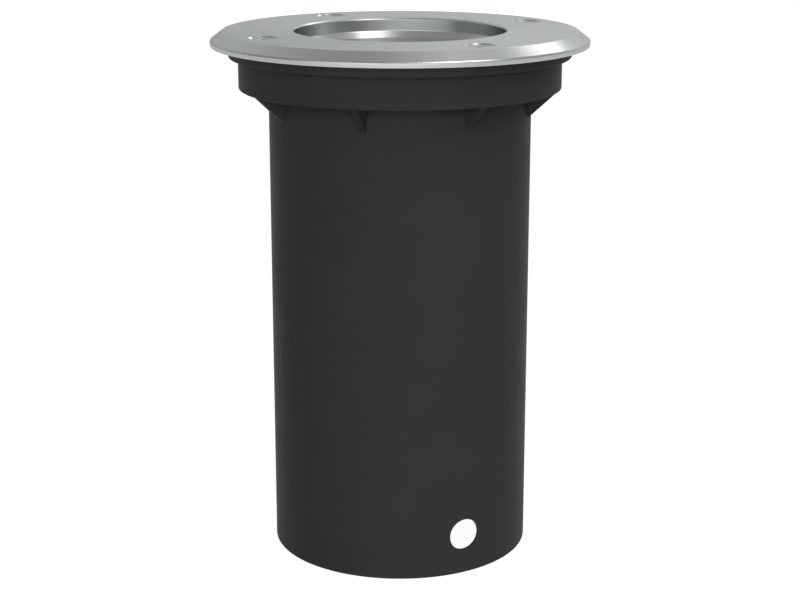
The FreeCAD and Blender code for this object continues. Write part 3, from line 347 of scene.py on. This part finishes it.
def combine(piece, others, operation):
    """Boolean the others with the piece, one after another, and remove them."""
    for other in others:
        step = piece.modifiers.new("step", "BOOLEAN")
        step.object = other
        step.operation = operation
        step.solver = "EXACT"
    settle(piece)
    for other in others:
        bpy.data.objects.remove(other)


def join(piece, other):
    """Put the other piece's mesh into the first one's and remove it."""
    build = bmesh.new()
    build.from_mesh(piece.data)
    build.from_mesh(other.data)
    build.to_mesh(piece.data)
    build.free()
    bpy.data.objects.remove(other)


def smooth(piece, sharp=32.0):
    """Smooth shading with edges over the sharp angle kept and flat faces held flat."""
    piece.data.shade_smooth()
    piece.data.set_sharp_from_angle(angle=math.radians(sharp))
    weigh = piece.modifiers.new("weigh", "WEIGHTED_NORMAL")
    weigh.keep_sharp = True
    weigh.weight = 100
    settle(piece)


def stand_for(piece, node, body, material):
    """The piece takes the place of a node of the frame, with its body and finish."""
    piece.data.materials.clear()
    piece.data.materials.append(material)
    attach(piece, body)
    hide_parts(node)


# Node tools

class Nodes:
    """A node tree, with short ways to add nodes; values are numbers, colours or outputs."""

    def __init__(self, tree):
        self.tree = tree

    def add(self, kind, **settings):
        node = self.tree.nodes.new(kind)
        for key, value in settings.items():
            setattr(node, key, value)
        return node

    def link(self, start, end):
        self.tree.links.new(start, end)

    def feed(self, entry, value):
        if isinstance(value, (int, float, tuple)):
            entry.default_value = value
        else:
            self.link(value, entry)

    def joined(self, kind, *values, **settings):
        """First output of a new node that takes the values in order."""
        node = self.add(kind, **settings)
        for entry, value in zip(node.inputs, values):
            self.feed(entry, value)
        return node.outputs[0]

    def maths(self, operation, *values, **settings):
        return self.joined("ShaderNodeMath", *values, operation=operation, **settings)

    def mixed(self, share, first, second, data_type="FLOAT"):
        """Goes from the first value to the second with the share."""
        node = self.add("ShaderNodeMix", data_type=data_type)
        self.feed(node.inputs["Factor"], share)
        self.feed(node.inputs["A"], first)
        self.feed(node.inputs["B"], second)
        return node.outputs["Result"]

    def ranged(self, value, low, high, start=0.0, end=1.0):
        """Turns a value from low to high into one from start to end."""
        node = self.add("ShaderNodeMapRange")
        self.feed(node.inputs["Value"], value)
        self.feed(node.inputs["From Min"], low)
        self.feed(node.inputs["From Max"], high)
        self.feed(node.inputs["To Min"], start)
        self.feed(node.inputs["To Max"], end)
        return node.outputs["Result"]

    def axes(self, vector):
        """X, Y and Z of a vector."""
        node = self.add("ShaderNodeSeparateXYZ")
        self.link(vector, node.inputs[0])
        return node.outputs

    def facing(self, vector, direction):
        """Cosine of the angle between two directions, the second a fixed one."""
        node = self.add("ShaderNodeVectorMath", operation="DOT_PRODUCT")
        self.link(vector, node.inputs[0])
        node.inputs[1].default_value = direction
        return node.outputs["Value"]

    def rays(self, *kinds):
        """1 for rays of any of the kinds, 0 for all others."""
        path = self.add("ShaderNodeLightPath").outputs
        total = path[kinds[0]]
        for kind in kinds[1:]:
            total = self.maths("ADD", total, path[kind], use_clamp=True)
        return total


class Finish(Nodes):
    """A node material about one Principled shader, in object coordinates in metres."""

    def __init__(self, name, colour, roughness, metallic=0.0):
        self.material = bpy.data.materials.new(name)
        self.material.use_nodes = True
        super().__init__(self.material.node_tree)
        self.shader = self.tree.nodes["Principled BSDF"]
        self.colour = colour
        self.roughness = roughness
        self.put("Base Color", (*colour, 1.0))
        self.put("Roughness", roughness)
        self.put("Metallic", metallic)
        self.place = self.add("ShaderNodeTexCoord").outputs["Object"]

    def put(self, name, value):
        """Give one of the shader's entries a value."""
        self.feed(self.shader.inputs[name], value)

    def noise(self, scale, detail=3.0, vector=None):
        node = self.add("ShaderNodeTexNoise")
        node.inputs["Scale"].default_value = scale
        node.inputs["Detail"].default_value = detail
        self.link(vector or self.place, node.inputs["Vector"])
        return node.outputs["Fac"]

    def spread(self, value, start, end):
        """Map a noise value on to a range."""
        return self.ranged(value, NOISE_LOW, NOISE_HIGH, start, end)

    def vary_colour(self, value, share):
        """Base colour that goes a share darker and lighter with the value."""
        darker = (*[c * (1.0 - share) for c in self.colour], 1.0)
        lighter = (*[min(1.0, c * (1.0 + share)) for c in self.colour], 1.0)
        self.put("Base Color", self.mixed(self.spread(value, 0.0, 1.0), darker, lighter, "RGBA"))

    def vary_roughness(self, value, share):
        """Roughness that goes a share down and up with the value."""
        low = self.roughness * (1.0 - share)
        high = min(1.0, self.roughness * (1.0 + share))
        self.put("Roughness", self.spread(value, low, high))

    def bump(self, value, depth):
        node = self.add("ShaderNodeBump")
        node.inputs["Strength"].default_value = 1.0
        node.inputs["Distance"].default_value = depth
        self.link(value, node.inputs["Height"])
        self.put("Normal", node.outputs["Normal"])

    def cylindrical(self):
        """X, Y, Z and the distance from the Z axis."""
        x, y, z = self.axes(self.place)
        squares = self.maths("ADD", self.maths("MULTIPLY", x, x), self.maths("MULTIPLY", y, y))
        return x, y, z, self.maths("SQRT", squares)

    def beyond(self, start, end):
        """0 nearer to the Z axis than start, 1 past end."""
        return self.ranged(self.cylindrical()[3], start, end)

    def around_axis(self, across, along):
        """Coordinates for marks that run round Z: fine across and long along the turn."""
        x, y, z, radius = self.cylindrical()
        fine = self.maths("MULTIPLY", self.maths("SUBTRACT", radius, z), across)
        first = self.maths("MULTIPLY", self.maths("DIVIDE", x, radius), along)
        second = self.maths("MULTIPLY", self.maths("DIVIDE", y, radius), along)
        return self.joined("ShaderNodeCombineXYZ", fine, first, second)


# Materials

def grained(name, colour, roughness, metallic=0.0, grain=3500.0, colour_share=0.06,
            depth=0.01 * MM, specular=0.5):
    """Even finish with a fine grain, a slow change of tone and a little relief."""
    finish = Finish(name, colour, roughness, metallic)
    finish.put("Specular IOR Level", specular)
    fine = finish.noise(scale=grain, detail=2.0)
    slow = finish.noise(scale=45.0, detail=4.0)
    mean = finish.maths("MULTIPLY", finish.maths("ADD", fine, slow), 0.5)
    finish.vary_colour(slow, share=colour_share)
    finish.vary_roughness(mean, share=0.15)
    finish.bump(fine, depth=depth)
    return finish.material


def turned_metal(name, colour, roughness, tint=(1.0, 1.0, 1.0)):
    """Bright metal with a fine grain; the tint darkens its gloss at flat angles."""
    finish = Finish(name, colour, roughness, metallic=1.0)
    finish.put("Specular Tint", (*tint, 1.0))
    marks = finish.noise(scale=5000.0, detail=2.0)
    finish.vary_colour(finish.noise(scale=300.0), share=0.06)
    finish.vary_roughness(marks, share=0.2)
    finish.bump(marks, depth=0.003 * MM)
    return finish.material


def brushed_ring():
    """Steel brushed round the axis; inside the aperture its marks are fainter, with no relief."""
    finish = Finish("brushed_ring", STEEL, roughness=0.28, metallic=1.0)
    finish.put("Specular Tint", (*STEEL_TINT, 1.0))
    finish.put("Anisotropic", 0.5)
    finish.put("Anisotropic Rotation", 0.25)
    tangent = finish.add("ShaderNodeTangent", direction_type="RADIAL", axis="Z")
    finish.put("Tangent", tangent.outputs[0])
    lines = finish.noise(scale=1.0, detail=2.0, vector=finish.around_axis(across=5000.0, along=0.8))
    outside = finish.beyond(APERTURE_RADIUS + INNER_MARKS_BORDER, APERTURE_RADIUS + APERTURE_BEVEL)
    contrast = finish.maths("MULTIPLY_ADD", outside, 1.0 - INNER_MARKS_SHARE, INNER_MARKS_SHARE)
    offset = finish.maths("SUBTRACT", lines, NOISE_MIDDLE)
    lines = finish.maths("MULTIPLY_ADD", offset, contrast, NOISE_MIDDLE)
    finish.vary_colour(lines, share=0.025)
    finish.vary_roughness(lines, share=0.04)
    finish.bump(finish.maths("MULTIPLY", lines, outside), depth=0.00005 * MM)
    return finish.material


def satin_glass():
    """Toughened glass with a fine etched face."""
    finish = Finish("satin_glass", (0.62, 0.65, 0.65), roughness=0.12)
    finish.put("IOR", 1.5)
    finish.put("Transmission Weight", 0.6)
    fine = finish.noise(scale=5200.0, detail=2.0)
    finish.vary_roughness(fine, share=0.2)
    finish.vary_colour(finish.noise(scale=90.0), share=0.02)
    finish.bump(fine, depth=0.0005 * MM)
    return finish.material


def lamp_optic():
    """Clear moulded plastic."""
    finish = Finish("lamp_optic", (0.93, 0.94, 0.95), roughness=0.12)
    finish.put("IOR", 1.49)
    finish.put("Transmission Weight", 0.8)
    ripple = finish.noise(scale=700.0, detail=1.0)
    finish.vary_roughness(ripple, share=0.4)
    finish.bump(ripple, depth=0.02 * MM)
    return finish.material


def striped_lead():
    """Green insulation with yellow stripes across it at even heights."""
    finish = Finish("green_yellow", GREEN, roughness=0.45)
    height = finish.axes(finish.place)[2]
    lane = finish.maths("ADD", finish.maths("MULTIPLY", height, STRIPES_PER_METRE), 0.2)
    stripe = finish.maths("GREATER_THAN", finish.maths("FRACT", lane), 0.5)
    finish.put("Base Color", finish.mixed(stripe, (*GREEN, 1.0), (*YELLOW, 1.0), "RGBA"))
    finish.bump(finish.noise(scale=3000.0), depth=0.01 * MM)
    return finish.material


def materials():
    """One material for each slot of the record."""
    return {
        "black_plastic": grained("black_plastic", (0.044, 0.047, 0.047), 0.55, grain=2600.0,
                                 depth=0.006 * MM, specular=0.04),
        "brass": turned_metal("brass", (0.78, 0.56, 0.25), 0.28),
        "stainless_ring": brushed_ring(),
        "stainless_screw": turned_metal("screw_steel", STEEL, 0.3, tint=STEEL_TINT),
        "window_glass": satin_glass(),
        "silicone": grained("silicone", (0.03, 0.03, 0.03), 0.6),
        "cast_aluminium": grained("cast_aluminium", (0.42, 0.43, 0.44), 0.5, metallic=1.0,
                                  grain=2200.0, depth=0.02 * MM),
        "gland_nylon": grained("gland_nylon", (0.015, 0.015, 0.016), 0.42),
        "ceramic": grained("ceramic", (0.80, 0.79, 0.75), 0.25, grain=900.0, colour_share=0.02),
        "zinc_steel": turned_metal("zinc_steel", (0.60, 0.62, 0.64), 0.32),
        "terminal_nylon": grained("terminal_nylon", (0.72, 0.70, 0.60), 0.45),
        "brown_lead": grained("brown_lead", (0.09, 0.035, 0.015), 0.5),
        "blue_lead": grained("blue_lead", (0.02, 0.06, 0.30), 0.5),
        "earth_lead": striped_lead(),
        "lamp_shell": grained("lamp_shell", (0.70, 0.70, 0.71), 0.35, metallic=0.3),
        "lamp_lens": lamp_optic(),
        "circuit_board": grained("circuit_board", (0.72, 0.74, 0.72), 0.35),
        "lamp_plastic": grained("lamp_plastic", (0.75, 0.75, 0.73), 0.4),
        "pin_metal": turned_metal("pin_metal", (0.70, 0.68, 0.63), 0.2),
    }


def finish_frame(finishes):
    """Give every node of the frame the material of its slot."""
    slots = {part["node"]: part["material_slot"] for part in frame["record"]["subparts"]}
    for node, piece in frame["nodes"].items():
        piece.data.materials.clear()
        piece.data.materials.append(finishes[slots[node]])


# Pieces

def trim_ring(material):
    """Ring of one section all round, with rounded corners and four countersunk holes."""
    lip_under = GLASS_HIGH.z + LIP_GAP
    lip_top = lip_under + LIP_EDGE
    lip_radius = APERTURE_RADIUS - LIP_REACH
    outline = rounded([
        (APERTURE_RADIUS, lip_top + LIP_RISE, LIP_TURN),
        (lip_radius, lip_top, LIP_ROUND),
        (lip_radius, lip_under, LIP_ROUND),
        (APERTURE_RADIUS + LIP_WIDTH, lip_under, LIP_ROUND),
        (APERTURE_RADIUS + LIP_WIDTH, RING_UNDER, LIP_ROUND),
        (RING_RADIUS, RING_UNDER),
        (RING_RADIUS, TOP - CHAMFER_DROP, RIM_ROUND),
        (RING_RADIUS - CHAMFER_WIDTH, TOP),
        (APERTURE_RADIUS + APERTURE_BEVEL, TOP),
        (APERTURE_RADIUS, TOP - APERTURE_BEVEL),
    ], RING_ROUND, RING_ARC_STEPS)
    hole = [
        (0.0, RING_UNDER - CUT_OVERRUN),
        (SCREW_HOLE_RADIUS, RING_UNDER - CUT_OVERRUN),
        (SCREW_HOLE_RADIUS, TOP - (COUNTERSINK_RADIUS - SCREW_HOLE_RADIUS)),
        (COUNTERSINK_RADIUS, TOP),
        (COUNTERSINK_RADIUS + CUT_OVERRUN, TOP + CUT_OVERRUN),
        (0.0, TOP + CUT_OVERRUN),
    ]
    ring = revolved("ring_face", outline, RING_STEPS)
    combine(ring, at_screws(lambda: revolved("cutter", hole, SMALL_STEPS)), "DIFFERENCE")
    smooth(ring, sharp=25.0)
    stand_for(ring, "trim_ring", "cover", material)


def cover_screw(number, material):
    """Countersunk screw with a hexagon socket and a rolled thread."""
    node = "cover_screw_%d" % (number + 1)
    low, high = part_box(node)
    head_radius = (high.x - low.x) / 2
    head_under = high.z - (head_radius - SHANK_RADIUS)
    neck_under = head_under - NECK_LENGTH
    side = rounded([
        (NECK_RADIUS, neck_under),
        (SHANK_RADIUS, head_under),
        (head_radius, high.z),
        (NECK_RADIUS, high.z),
    ], HEAD_ROUND, HEAD_ARC_STEPS)
    inner_corner = HEAD_ARC_STEPS + 1
    head = revolved("screw_%d" % (number + 1),
                    side[:-inner_corner] + [(0.0, high.z), (0.0, neck_under)], SMALL_STEPS)
    socket_radius = SOCKET_FLATS / 2 / math.cos(TURN / (2 * SOCKET_SIDES))
    socket = prism("socket", socket_radius, SOCKET_SIDES, high.z - SOCKET_DEPTH,
                   high.z + CUT_OVERRUN)
    mouth_radius = SOCKET_FLATS / 2 + SOCKET_MOUTH
    mouth = revolved("mouth", [
        (0.0, high.z - mouth_radius / 2),
        (mouth_radius, high.z),
        (mouth_radius, high.z + CUT_OVERRUN),
        (0.0, high.z + CUT_OVERRUN),
    ], SMALL_STEPS)
    combine(head, [socket, mouth], "DIFFERENCE")
    join(head, threaded_rod("rod", low.z, head_under - THREAD_START))
    head.data.transform(to_screw(number))
    smooth(head, sharp=35.0)
    stand_for(head, node, node, material)


def glass_pane(material):
    """Round window with a rounded rim."""
    low, high = GLASS_LOW.z, GLASS_HIGH.z
    radius = GLASS_HIGH.x
    outline = rounded([(0.0, low), (radius, low), (radius, high), (0.0, high)], GLASS_ROUND)
    rim = [point for point in outline if point[0] > radius / 2]
    pane = revolved("window_pane", [(0.0, low)] + rim + [(0.0, high)], GLASS_STEPS)
    smooth(pane)
    stand_for(pane, "glass_lens", "window", material)


def sleeve_rib(number, collar_under):
    """Wedge under the collar with a wide root at the tube and a narrow slanted outer edge."""
    inner = TUBE_RADIUS - RIB_TUBE_EMBED
    outer = COLLAR_RADIUS - RIB_SETBACK
    embed = RIB_COLLAR_EMBED
    rise = outer + embed * (outer - TUBE_RADIUS) / RIB_DROP
    root, edge = RIB_ROOT_WIDTH / 2, RIB_EDGE_WIDTH / 2
    top, foot = collar_under + embed, collar_under - RIB_DROP
    build = bmesh.new()
    upper = [build.verts.new(corner) for corner in (
        (inner, -root, top), (rise, -edge, top), (rise, edge, top), (inner, root, top))]
    lower = [build.verts.new(corner) for corner in (
        (inner, -edge, foot), (TUBE_RADIUS, -edge, foot), (TUBE_RADIUS, edge, foot),
        (inner, edge, foot))]
    build.faces.new(upper)
    build.faces.new(list(reversed(lower)))
    for side in range(4):
        after = (side + 1) % 4
        build.faces.new((lower[side], lower[after], upper[after], upper[side]))
    bmesh.ops.recalc_face_normals(build, faces=build.faces)
    bmesh.ops.bevel(build, geom=build.edges[:], offset=RIB_ROUND, segments=2, affect="EDGES",
                    profile=0.5)
    rib = built("rib", build)
    rib.data.transform(Matrix.Rotation(TURN * number / RIB_COUNT, 4, "Z"))
    return rib


def cable_hole(tube_inner):
    """Cutter through the tube's wall towards -Y, flared on the inside."""
    flared = CABLE_HOLE_RADIUS + CABLE_HOLE_FLARE
    cutter = revolved("cable", [
        (0.0, -CABLE_CUT_OVERRUN),
        (flared + CABLE_CUT_OVERRUN, -CABLE_CUT_OVERRUN),
        (CABLE_HOLE_RADIUS, CABLE_HOLE_FLARE),
        (CABLE_HOLE_RADIUS, TUBE_WALL + CABLE_CUT_OVERRUN),
        (0.0, TUBE_WALL + CABLE_CUT_OVERRUN),
    ], SMALL_STEPS)
    cutter.data.transform(Matrix.Translation((0.0, -tube_inner, CABLE_HOLE_HEIGHT))
                          @ Matrix.Rotation(TURN / 4, 4, "X"))
    return cutter


def ground_sleeve(material):
    """Moulded sleeve: tube, collar, flange, bosses, ribs, insert holes and cable hole."""
    top = SLEEVE_HIGH.z
    flange_radius = SLEEVE_HIGH.x
    flange_under = top - FLANGE_THICKNESS
    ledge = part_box("glass_gasket")[0].z - POT_FLANGE_THICKNESS
    collar_under = ledge - LEDGE_THICKNESS
    tube_inner = TUBE_RADIUS - TUBE_WALL
    collar_inner = COLLAR_RADIUS - COLLAR_WALL
    hole_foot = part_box("thread_inserts")[0].z - INSERT_END_GAP
    outline = rounded([
        (tube_inner, 0.0),
        (TUBE_RADIUS, 0.0),
        (TUBE_RADIUS, collar_under),
        (COLLAR_RADIUS, collar_under),
        (COLLAR_RADIUS, flange_under),
        (flange_radius, flange_under),
        (flange_radius, top),
        (collar_inner, top),
        (collar_inner, ledge),
        (tube_inner, ledge),
    ], SLEEVE_ROUND)
    sleeve = revolved("sleeve_shell", outline, SLEEVE_STEPS)
    ribs = [sleeve_rib(number, collar_under) for number in range(RIB_COUNT)]
    bosses = at_screws(lambda: prism("boss", BOSS_RADIUS, BOSS_STEPS, ledge - BOSS_EMBED, top))
    combine(sleeve, ribs + bosses, "UNION")
    holes = at_screws(lambda: prism("hole", INSERT_HOLE_RADIUS, BOSS_STEPS, hole_foot,
                                    top + CUT_OVERRUN))
    combine(sleeve, holes + [cable_hole(tube_inner)], "DIFFERENCE")
    smooth(sleeve)
    stand_for(sleeve, "ground_sleeve", "sleeve", material)


# Stage, light and camera

def toward(azimuth, elevation, distance, centre):
    """Point at a distance from the centre, in a direction told as for the camera."""
    return centre + distance * Vector((
        math.sin(azimuth) * math.cos(elevation),
        -math.cos(azimuth) * math.cos(elevation),
        math.sin(elevation)))


def level_direction(turned):
    """Level direction at an angle in degrees right of the one to the camera."""
    return toward(VIEW_AZIMUTH + math.radians(turned), 0.0, 1.0, Vector())


def floor():
    """Wide floor, white to the eye and in gloss with a faint shadow, and dim in its bounce."""
    corners = [(-FLOOR_REACH, -FLOOR_REACH, 0.0), (FLOOR_REACH, -FLOOR_REACH, 0.0),
               (FLOOR_REACH, FLOOR_REACH, 0.0), (-FLOOR_REACH, FLOOR_REACH, 0.0)]
    mesh = bpy.data.meshes.new("floor")
    mesh.from_pydata(corners, [], [(0, 1, 2, 3)])
    plane = new_object("floor", mesh)
    plane.location.z = -FLOOR_DROP
    material = bpy.data.materials.new("floor")
    material.use_nodes = True
    material.node_tree.nodes.clear()
    nodes = Nodes(material.node_tree)
    bounce = nodes.joined("ShaderNodeBsdfDiffuse", (FLOOR_BOUNCE, FLOOR_BOUNCE, FLOOR_BOUNCE, 1.0))
    shadow = nodes.joined("ShaderNodeBsdfDiffuse", (FLOOR_SHADOW, FLOOR_SHADOW, FLOOR_SHADOW, 1.0))
    glow = nodes.joined("ShaderNodeEmission", (1.0, 1.0, 1.0, 1.0), FLOOR_SEEN)
    looks = nodes.joined("ShaderNodeAddShader", shadow, glow)
    seen = nodes.rays("Is Camera Ray", "Is Glossy Ray", "Is Transmission Ray")
    surface = nodes.joined("ShaderNodeMixShader", seen, bounce, looks)
    nodes.link(surface, nodes.add("ShaderNodeOutputMaterial").inputs[0])
    mesh.materials.append(material)


def world():
    """White to the eye, a shaded sky for gloss and glass, and a plain fill for the rest."""
    scene_world = bpy.data.worlds.new("studio")
    bpy.context.scene.world = scene_world
    scene_world.use_nodes = True
    nodes = Nodes(scene_world.node_tree)
    ray = nodes.add("ShaderNodeTexCoord").outputs["Generated"]
    height = nodes.axes(ray)[2]
    to_camera = nodes.facing(ray, level_direction(0.0))
    to_right = nodes.facing(ray, level_direction(90.0))
    to_glow = nodes.facing(ray, level_direction(GLOW_TURNED))
    sky = nodes.ranged(to_camera, *SIDES_BAND, 1.0, SKY_SIDES)
    for share in (
        nodes.ranged(height, *HORIZON_BAND, SKY_HORIZON, SKY_WHITE),
        nodes.ranged(height, *OVERHEAD_BAND, 1.0, SKY_OVERHEAD / SKY_WHITE / SKY_SIDES),
        nodes.ranged(to_right, *LEFT_BAND, SKY_LEFT, 1.0),
    ):
        sky = nodes.maths("MULTIPLY", sky, share)
    glow = nodes.ranged(to_glow, *GLOW_BAND, 0.0, SKY_GLOW - SKY_SIDES)
    low_down = nodes.ranged(height, *GLOW_HEIGHT_BAND, 1.0, 0.0)
    sky = nodes.maths("ADD", sky, nodes.maths("MULTIPLY", glow, low_down))
    strength = nodes.mixed(nodes.rays("Is Glossy Ray", "Is Transmission Ray"), FILL, sky)
    strength = nodes.mixed(nodes.rays("Is Camera Ray"), strength, 1.0)
    background = scene_world.node_tree.nodes["Background"]
    nodes.feed(background.inputs["Color"], (1.0, 1.0, 1.0, 1.0))
    nodes.feed(background.inputs["Strength"], strength)


def lights():
    """The softboxes, each turned to the ring and with the energy that gives its face its radiance."""
    centre = Vector((0.0, 0.0, TOP))
    for name, (turned, elevation, distance, size, radiance, in_gloss) in SOFTBOXES.items():
        data = bpy.data.lights.new(name, "AREA")
        data.shape = "RECTANGLE"
        data.size, data.size_y = size
        data.energy = radiance * math.pi * size[0] * size[1]
        light = new_object(name, data)
        light.visible_glossy = in_gloss
        light.location = toward(VIEW_AZIMUTH + math.radians(turned), math.radians(elevation),
                                distance, centre)
        light.rotation_mode = "QUATERNION"
        light.rotation_quaternion = (light.location - centre).to_track_quat("Z", "Y")


def camera():
    """Camera at the place that was fitted to the photograph."""
    data = bpy.data.cameras.new("camera")
    data.lens = VIEW_LENS
    data.sensor_width = VIEW_SENSOR
    data.clip_start = VIEW_CLIP_START
    eye = new_object("camera", data)
    eye.location = (math.sin(VIEW_AZIMUTH) * VIEW_DISTANCE,
                    -math.cos(VIEW_AZIMUTH) * VIEW_DISTANCE,
                    VIEW_HEIGHT)
    eye.rotation_euler = (TURN / 4 - VIEW_PITCH, 0.0, VIEW_AZIMUTH)
    bpy.context.scene.camera = eye


def main():
    camera()
    finishes = materials()
    finish_frame(finishes)
    trim_ring(finishes["stainless_ring"])
    for number in range(SCREW_COUNT):
        cover_screw(number, finishes["stainless_screw"])
    glass_pane(finishes["window_glass"])
    ground_sleeve(finishes["black_plastic"])
    floor()
    world()
    lights()
    bpy.context.scene.view_settings.view_transform = "Standard"


main()
